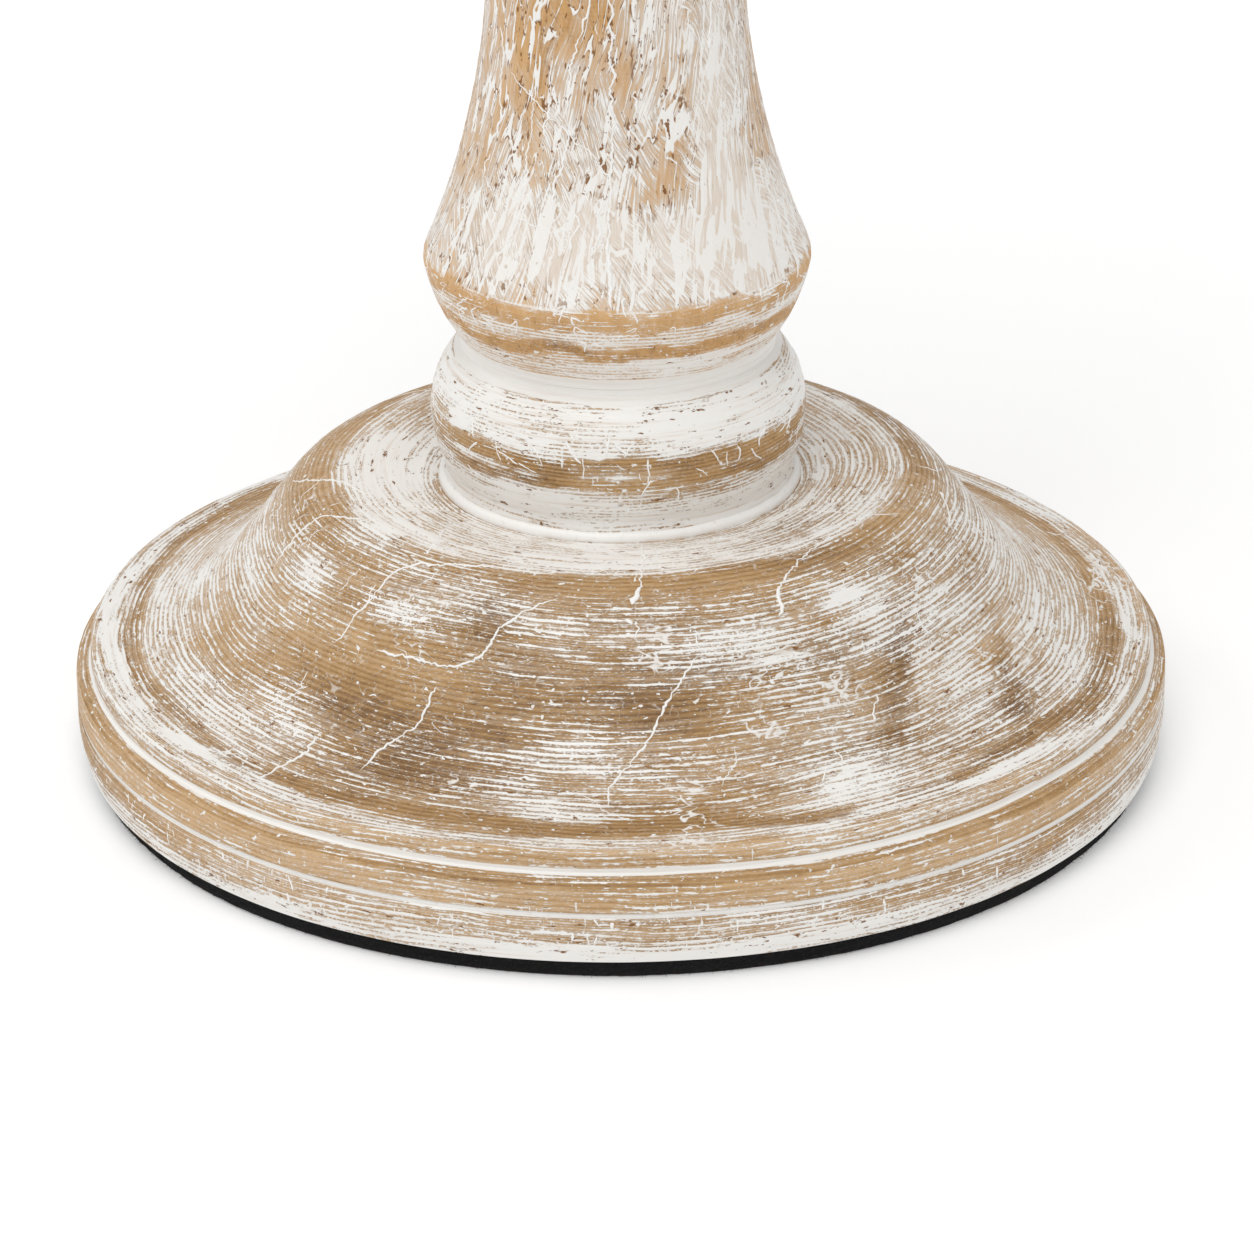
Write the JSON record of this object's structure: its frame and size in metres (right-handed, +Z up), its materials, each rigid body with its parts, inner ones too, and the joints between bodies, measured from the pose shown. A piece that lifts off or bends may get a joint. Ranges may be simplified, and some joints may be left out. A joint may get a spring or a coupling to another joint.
{
  "type": "pillar candlestick",
  "caption": "Turned, whitewashed wooden candlestick with a broad ogee base, bead and bell column, dished top and an iron spike for a pillar candle.",
  "frame": {"origin": "on the turning axis, at the underside of the felt, which rests on the table", "axes": "+Z up along the turning axis; -Y towards the viewer, the side nearer the glued seam of the base; +X to the viewer's right"},
  "size_m": [0.1504, 0.1504, 0.3322],
  "materials": {
    "felt": "matt fibrous felt",
    "whitewashed_wood": "brown wood under rubbed-through off-white paint, satin to matt",
    "zinc_steel": "zinc plated",
    "blackened_iron": "blackened, satin, lightly rubbed on the edges"
  },
  "bodies": {
    "root": {"felt_pad": "felt", "base_board_front": "whitewashed_wood", "base_board_rear": "whitewashed_wood", "base_screw": "zinc_steel", "base_washer": "zinc_steel", "neck_collar": "whitewashed_wood", "column": "whitewashed_wood", "top_dish": "whitewashed_wood", "drip_plate": "blackened_iron", "pricket": "blackened_iron", "plate_screws": "blackened_iron"}
  },
  "joints": []
}
